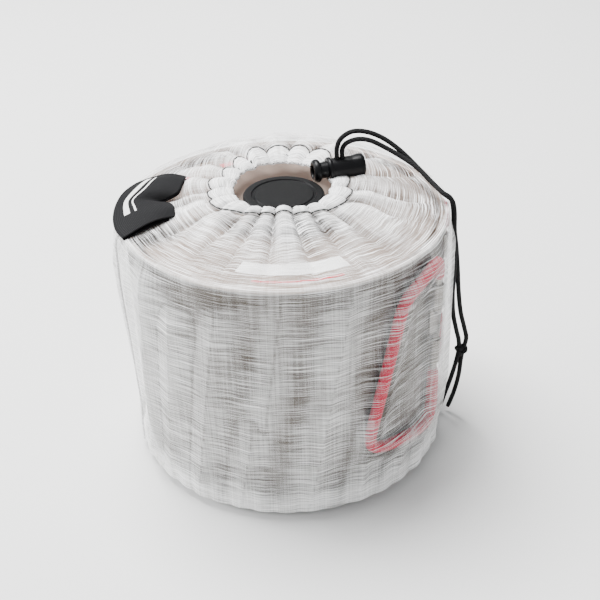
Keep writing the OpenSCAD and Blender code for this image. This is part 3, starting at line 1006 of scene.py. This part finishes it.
def closed_tube(name: str, ring: np.ndarray, wide: float, tall: float,
                material: bpy.types.Material, sides: int = 10) -> bpy.types.Object:
    """Makes a closed ring of oval section along a level ring of points.

    Args:
        name: the piece's name.
        ring: the ring's points.
        wide: half its width, outwards.
        tall: half its height.
        material: its material.
        sides: how many sides its section has.

    Returns:
        The new object.
    """
    ahead = np.roll(ring, -1, axis=0) - np.roll(ring, 1, axis=0)
    outward = np.column_stack([ahead[:, 1], -ahead[:, 0], np.zeros(len(ring))])
    outward /= np.linalg.norm(outward, axis=1)[:, None]
    turn = np.arange(sides) * FULL_TURN / sides
    verts = (ring[:, None, :] + wide * np.cos(turn)[None, :, None] * outward[:, None, :]
             + tall * np.sin(turn)[None, :, None] * np.array([0, 0, 1.0]))
    n = len(ring)
    faces, uvs = [], []
    for i in range(n):
        for k in range(sides):
            j, m = (i + 1) % n, (k + 1) % sides
            faces.append([i * sides + k, j * sides + k, j * sides + m, i * sides + m])
            uvs.extend([(i, k * 0.4), (i + 1, k * 0.4), (i + 1, k * 0.4 + 0.4), (i, k * 0.4 + 0.4)])
    return make_piece(name, verts.reshape(-1, 3), faces, material, uvs)


@dataclass
class DrawcordChannel:
    """The doubled hem round the mouth: a puffed, gathered tunnel with black stitching."""

    cloth: SackCloth
    around: int = 560
    section: int = 18

    def edge_line(self, angle: np.ndarray) -> np.ndarray:
        """The mouth's inner edge, finely puckered."""
        t = np.radians(angle)
        fine = ring_noise(t, 7)
        grow = 0.9 * fine - 0.7 * self.cloth.lobes(angle)
        x = self.cloth.mouth[0] + (self.cloth.edge_a + 0.4 + grow) * np.cos(t)
        y = self.cloth.mouth[1] + (self.cloth.edge_b + 0.4 + grow) * np.sin(t)
        front, back = bell(turn_gap(angle, FRONT_DEG), 0, 44), bell(turn_gap(angle, BACK_DEG), 0, 60)
        z = 100.8 + 2.3 * front - 0.5 * back + 0.6 * self.cloth.lobes(angle) + 0.4 * fine
        return np.column_stack([x, y, z])

    def build(self) -> None:
        """Makes the channel, its stitch line and the edge's overlock ticks."""
        angle = np.arange(self.around) * 360.0 / self.around
        outer, inner = self.cloth.stitch_line(angle), self.edge_line(angle)
        puff = self.cloth.lobes(angle)
        front, back = bell(turn_gap(angle, FRONT_DEG), 0, 50), bell(turn_gap(angle, BACK_DEG), 0, 75)
        rows = []
        for i in range(self.section):
            t = FULL_TURN * i / self.section
            share, top = 0.5 - 0.5 * math.cos(t), math.sin(t)
            middle = outer * (1 - share) + inner * share
            fine = ring_noise(np.radians(angle), 15, share * 0.8)
            if top > 0:
                rise = top**0.8 * (1.4 + 0.4 * puff - 0.3 * front - 0.4 * back) + 0.5 * fine * top
            else:
                rise = -(0.8 - 0.5 * front) * abs(top)
            middle[:, 2] += rise
            rows.append(middle)
        points = np.transpose(np.array(rows), (1, 0, 2))
        n, sides = self.around, self.section
        faces, uvs = [], []
        for i in range(n):
            for k in range(sides):
                j, m = (i + 1) % n, (k + 1) % sides
                faces.append([i * sides + k, i * sides + m, j * sides + m, j * sides + k])
                u, w = i * 0.7, (i + 1) * 0.7
                uvs.extend([(u, k), (u, k + 1), (w, k + 1), (w, k)])
        channel = make_piece("mouth_channel", points.reshape(-1, 3), faces,
                             Finish.HEM_CLOTH.material(), uvs)
        settle(channel, "sack", ["drawcord_channel"])
        fine_angle = np.linspace(0, 360, 1081)
        seam = self.cloth.stitch_line(fine_angle)
        seam[:, 2] += 0.7
        settle(stitched_line("channel_stitches", seam, 2.6, 3.0, 0.3), "sack")
        edge = self.edge_line(fine_angle)
        middle = np.array([*self.cloth.mouth, 0])
        out = (edge - middle) * np.array([1, 1, 0])
        out /= np.linalg.norm(out, axis=1)[:, None]
        wave = np.where(np.arange(len(edge)) % 6 < 3, 1.3, 0.1)
        edge[:, 2] += 0.5 + 0.12 * wave
        settle(stitched_line("mouth_overlock", edge + out * wave[:, None], 1.7, 0.9, 0.16),
               "sack")


def stitched_line(name: str, line: np.ndarray, pitch: float, length: float,
                  radius: float) -> bpy.types.Object:
    """Lays thread stitches along a line with geometry nodes.

    Args:
        name: the piece's name.
        line: the line's points, in millimetres.
        pitch: the distance from one stitch to the next.
        length: each stitch's length.
        radius: the thread's radius.

    Returns:
        The stitches as one plain mesh.
    """
    mesh = bpy.data.meshes.new(name + "_line")
    edges = [(i, i + 1) for i in range(len(line) - 1)]
    mesh.from_pydata((line * MM).tolist(), edges, [])
    source = bpy.data.objects.new(name + "_line", mesh)
    bpy.context.scene.collection.objects.link(source)
    tree = bpy.data.node_groups.new(name + "_nodes", "GeometryNodeTree")
    face = tree.interface
    face.new_socket("Geometry", in_out="INPUT", socket_type="NodeSocketGeometry")
    sockets = {}
    for label in ("Pitch", "Length", "Radius"):
        sockets[label] = face.new_socket(label, in_out="INPUT", socket_type="NodeSocketFloat")
    face.new_socket("Geometry", in_out="OUTPUT", socket_type="NodeSocketGeometry")
    given = add_node(tree, "NodeGroupInput")
    curve = add_node(tree, "GeometryNodeMeshToCurve", None, {0: given.outputs["Geometry"]})
    spots = add_node(tree, "GeometryNodeCurveToPoints", {"mode": "LENGTH"},
                     {0: curve.outputs[0], "Length": given.outputs["Pitch"]})
    bead = add_node(tree, "GeometryNodeMeshUVSphere", None,
                    {"Segments": 6, "Rings": 5, "Radius": 1.0})
    half = add_node(tree, "ShaderNodeMath", {"operation": "MULTIPLY"},
                    {0: given.outputs["Length"], 1: 0.5})
    size = add_node(tree, "ShaderNodeCombineXYZ", None,
                    {0: given.outputs["Radius"], 1: given.outputs["Radius"], 2: half.outputs[0]})
    laid = add_node(tree, "GeometryNodeInstanceOnPoints", None,
                    {"Points": spots.outputs["Points"], "Instance": bead.outputs[0],
                     "Rotation": spots.outputs["Rotation"], "Scale": size.outputs[0]})
    real = add_node(tree, "GeometryNodeRealizeInstances", None, {0: laid.outputs[0]})
    dressed = add_node(tree, "GeometryNodeSetMaterial", None,
                       {0: real.outputs[0], "Material": Finish.THREAD.material()})
    add_node(tree, "NodeGroupOutput", None, {0: dressed.outputs[0]})
    modifier = source.modifiers.new("stitches", "NODES")
    modifier.node_group = tree
    for label, value in (("Pitch", pitch), ("Length", length), ("Radius", radius)):
        modifier[sockets[label].identifier] = value * MM
    return frozen(source, name)


def frozen(source: bpy.types.Object, name: str) -> bpy.types.Object:
    """Turns an object with modifiers into a plain mesh piece and removes the source."""
    graph = bpy.context.evaluated_depsgraph_get()
    mesh = bpy.data.meshes.new_from_object(source.evaluated_get(graph))
    mesh.name = name
    piece = bpy.data.objects.new(name, mesh)
    bpy.context.scene.collection.objects.link(piece)
    bpy.data.objects.remove(source)
    return piece


@dataclass
class SideSeam:
    """The felled seam up the wall and over the crown, under the label to the channel."""

    cloth: SackCloth

    def build(self) -> None:
        """Makes the seam as a flat doubled strip that follows the cloth."""
        column = int(self.cloth.seam_deg / 360 * self.cloth.around)
        wall = self.cloth.wall()[0][:, column]
        crown = self.cloth.crown()[0][2:-3, column]
        out = wall * np.array([1, 1, 0])
        out /= np.linalg.norm(out, axis=1)[:, None]
        low = wall[:-2] + out[:-2] * 0.3
        top = crown + np.array([0, 0, 0.35])
        line = catmull(np.vstack([low[::3], top[::3]]), 3)
        turn = math.radians(self.cloth.seam_deg + 90)
        side = np.array([math.cos(turn), math.sin(turn), 0.0])
        half, thick = 2.0, 0.16
        ahead = frames_along(line)[0]
        normal = np.cross(side, ahead)
        normal /= np.linalg.norm(normal, axis=1)[:, None]
        corners = [(-half, -thick), (half, -thick), (half, thick), (half * 0.3, thick * 2.4),
                   (-half, thick * 1.4)]
        n = len(corners)
        verts = np.array([line + side * x + normal * y for x, y in corners])
        verts = np.transpose(verts, (1, 0, 2)).reshape(-1, 3)
        faces = grid_faces(len(line), n, True)
        faces += [list(range(n - 1, -1, -1)), [n * (len(line) - 1) + k for k in range(n)]]
        uvs = grid_uvs(np.arange(n + 1), np.arange(len(line)), True) + [(0.0, 0.0)] * 2 * n
        seam = make_piece("felled_side_seam", verts, faces, Finish.HEM_CLOTH.material(), uvs)
        settle(seam, "sack", ["side_seam"])


@dataclass
class WovenLabel:
    """The folded ribbon at the back left of the rim, its two corners standing up as lobes."""

    fold_edge: list = field(default_factory=lambda: [
        (-50.8, 18.5, 100.4), (-54.5, 12.5, 101.4), (-57.9, 5, 101.7), (-59.5, -3, 101.2),
        (-59.6, -10.5, 100.2), (-58.0, -17.5, 99.2), (-54.6, -23.5, 98.9)])
    sewn_edge: list = field(default_factory=lambda: [
        (-36.0, 15.3, 102.3), (-36.8, 9.5, 103.2), (-38.6, 3.4, 101.8), (-45.0, 0.8, 99.6),
        (-41.4, -3.2, 101.4), (-38.6, -8.5, 102.4), (-38.0, -12.8, 100.8)])
    long_steps: int = 60
    wide_steps: int = 26
    gap_mm: float = 1.1

    def layer(self, drop: float) -> np.ndarray:
        """One layer of the folded ribbon as a grid, from the fold to the sewn edge."""
        fold = catmull(self.fold_edge, self.long_steps // 6)
        sewn = catmull(self.sewn_edge, self.long_steps // 6)
        rows = []
        for i in range(self.wide_steps + 1):
            v = i / self.wide_steps
            ease = v**0.9
            points = fold * (1 - ease) + sewn * ease
            points[:, 2] += 1.5 * math.sin(math.pi * v) * (1 - drop * 0.5) - drop * self.gap_mm
            rows.append(points)
        return np.array(rows)

    def build(self) -> None:
        """Makes both layers and the fold between them as one thin ribbon."""
        top, under = self.layer(0.0), self.layer(1.0)
        cols = top.shape[1]
        middle, half = (top[0] + under[0]) / 2, (top[0] - under[0]) / 2
        out = np.array([-self.gap_mm / 2, 0.0, 0.0])
        bend = [middle + half * math.cos(a) + out * math.sin(a)
                for a in np.linspace(0, math.pi, 7)[1:-1]]
        points = np.concatenate([top[::-1], np.array(bend), under])
        rows = len(points)
        along = np.concatenate([[0], np.cumsum(np.linalg.norm(np.diff(top[0], axis=0), axis=1))])
        across = np.abs(np.arange(rows) - self.wide_steps - 3) * 20.0 / self.wide_steps
        faces = grid_faces(rows, cols, False)
        label = make_piece("woven_label", points.reshape(-1, 3), faces, Finish.LABEL.material(),
                           grid_uvs(along, across, False))
        thick = label.modifiers.new("ribbon", "SOLIDIFY")
        thick.thickness, thick.offset = 0.35 * MM, 0
        piece = frozen(label, "woven_label_ribbon")
        settle(piece, "sack", ["label"])


# ------------------------------------------------------------------ cord and cord lock


@dataclass
class Cords:
    """The drawcord: its run in the channel, the two free tails and the overhand knot."""

    cord_r: float = 0.9
    knot_mm: tuple = (68.1, 1.0, 30.8)
    tail_a: list = field(default_factory=lambda: [
        (19.7, 15.5, 98.6), (19.7, 15.5, 103.5), (19.7, 15.5, 108.5), (19.8, 15.6, 112.6),
        (21.4, 16, 116), (25.5, 16.5, 118.3), (31, 16.8, 117.8), (37, 16.2, 115.3),
        (43, 14, 111.3), (48.6, 10, 106.8), (53.4, 4.5, 103.2), (56.9, -0.6, 101.4),
        (59.8, -1.8, 99.6), (61, -1.9, 95.6), (61.7, -1.6, 88.2), (63, -1.2, 80), (64.2, -0.8, 70),
        (65.2, -0.4, 60), (66.6, 0, 50), (68.6, 0.4, 42), (69.8, 0.8, 36.5), (68.9, 1, 31),
        (68.4, 1.4, 25.5), (68, 1.6, 18), (66.6, 1.4, 10), (64.4, 1.2, 2.4)])
    tail_b: list = field(default_factory=lambda: [
        (21.7, 16.1, 98.6), (21.7, 16.1, 103.5), (21.7, 16.1, 108.5), (21.8, 16.1, 111.8),
        (23.6, 15.6, 114.4), (27.5, 15.2, 115.8), (32, 15, 115.2), (37.5, 14.2, 112.6),
        (43.2, 11.9, 109.9), (48.6, 8, 107.2), (53.4, 2.5, 104), (56.9, -2.6, 102.1),
        (59.9, -3.9, 100), (61.1, -4, 95.8), (61.6, -3.7, 88.6), (62.3, -3.2, 80),
        (62.7, -2.6, 70), (62.8, -2, 60), (63.6, -1.3, 50), (65.3, -0.5, 42), (66.8, 0.4, 36),
        (67.2, 1, 31), (66.4, 0.6, 25.5), (64.8, 0.3, 18), (62.9, 0.3, 10.5), (61.2, 0.4, 3.6)])

    def knot(self) -> bpy.types.Object:
        """Makes the overhand knot as one pulled-tight trefoil of the same cord."""
        turn = np.linspace(0, FULL_TURN, 121)[:-1]
        size = 0.62
        shape = np.column_stack([np.sin(turn) + 2 * np.sin(2 * turn), -1.1 * np.sin(3 * turn),
                                 np.cos(turn) - 2 * np.cos(2 * turn)]) * size
        shape = shape * np.array([0.95, 1.15, 1.05]) + np.array(self.knot_mm)
        closed = np.vstack([shape, shape[:1]])
        return tube("overhand_knot", closed, self.cord_r * 1.08, 14, Finish.CORD.material())

    def build(self) -> None:
        """Makes the tails and the knot."""
        knot = self.knot()
        settle(knot, "sack", ["cord_knot"])
        held = [knot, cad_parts["lock_barrel"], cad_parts["lock_plunger"],
                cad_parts["lock_spring"]]
        for letter, route, pieces in (("a", self.tail_a, held), ("b", self.tail_b, [])):
            line = catmull(route, 8)
            radii = np.full(len(line), self.cord_r)
            radii[-1] *= 0.82
            tail = tube(f"cord_end_{letter}", line, radii, 14, Finish.CORD.material())
            settle(tail, "sack", [f"cord_tail_{letter}"])

    def build_channel_cord(self, cloth: SackCloth) -> None:
        """Makes the cord that runs round inside the channel."""
        angle = np.linspace(24, 376, 181)
        edge = DrawcordChannel(cloth).edge_line(angle)
        line = cloth.stitch_line(angle) * 0.5 + edge * 0.5
        line[:, 2] += 0.15 - 0.6 * bell(turn_gap(angle, FRONT_DEG), 0, 60)
        cord = tube("channel_cord", line, self.cord_r, 10, Finish.CORD.material())
        settle(cord, "sack", ["drawcord"])


@dataclass
class CordLock:
    """The spring cord lock: its CAD barrel, plunger and spring, with moulded lips and a button."""

    centre_mm: tuple = (20.7, 15.8, 104.2)
    turn_deg: float = 15.0
    sides: int = 48

    def lathe(self, name: str, profile: list, body: str) -> None:
        """Turns a closed profile of (place along the barrel, radius) into a ring."""
        turn = np.arange(self.sides) * FULL_TURN / self.sides
        way = math.radians(self.turn_deg)
        along = np.array([math.cos(way), math.sin(way), 0.0])
        side, up = np.array([-along[1], along[0], 0.0]), np.array([0.0, 0.0, 1.0])
        centre = np.array(self.centre_mm)
        rings = [centre + along * x + r * (np.cos(a) * side + np.sin(a) * up)
                 for a in turn for x, r in profile]
        n, count = len(profile), self.sides
        faces = [[i * n + k, i * n + (k + 1) % n, (i + 1) % count * n + (k + 1) % n,
                  (i + 1) % count * n + k] for i in range(count) for k in range(n)]
        ring = make_piece(name, np.array(rings), faces, Finish.LOCK.material())
        ring.data.set_sharp_from_angle(angle=math.radians(50))
        settle(ring, body)

    def build(self) -> None:
        """Gives the CAD nodes their finishes and adds the lips and the button's round rim."""
        for node, finish in (("lock_barrel", Finish.LOCK), ("lock_plunger", Finish.LOCK),
                             ("lock_spring", Finish.STEEL)):
            dress_node(node, finish)
        self.lathe("lock_end_flare", [(4.2, 3.95), (5.6, 4.1), (7.6, 4.45), (8.7, 4.4), (9.2, 3.9),
                                      (9.2, 2.6), (8.82, 2.6), (7.9, 3.5), (6, 3.9)], "lock")
        self.lathe("lock_mouth_lip", [(-4.75, 3.5), (-4.75, 4.2), (-4.4, 4.5), (-3.6, 4.5),
                                      (-3.1, 4.1), (-3.1, 3.9), (-4.55, 3.5)], "lock")
        self.lathe("button_rim", [(-10.3, 2.4), (-10.5, 3.0), (-10.2, 3.9), (-9.4, 4.35),
                                  (-8.4, 4.35), (-7.7, 3.8), (-7.5, 3.05), (-8.1, 3.1),
                                  (-8.2, 3.8), (-9.7, 3.8), (-9.85, 2.3)], "plunger")


# ------------------------------------------------------------------ everything


def main() -> None:
    """Builds the studio and every sub-assembly."""
    logging.basicConfig(level=logging.INFO, format="%(message)s")
    Studio().build()
    cords = Cords()
    cords.build()
    PotShell().dress()
    for side, hinge, direction in HANDLES:
        FoldedHandle(side, hinge, direction).build()
    PotLid().dress()
    LidPrint().build()
    cloth = SackCloth()
    sheet = cloth.build()
    base = SackBase().build()
    DrawcordChannel(cloth).build()
    SideSeam(cloth).build()
    cords.build_channel_cord(cloth)
    WovenLabel().build()
    CordLock().build()


if __name__ == "__main__":
    main()
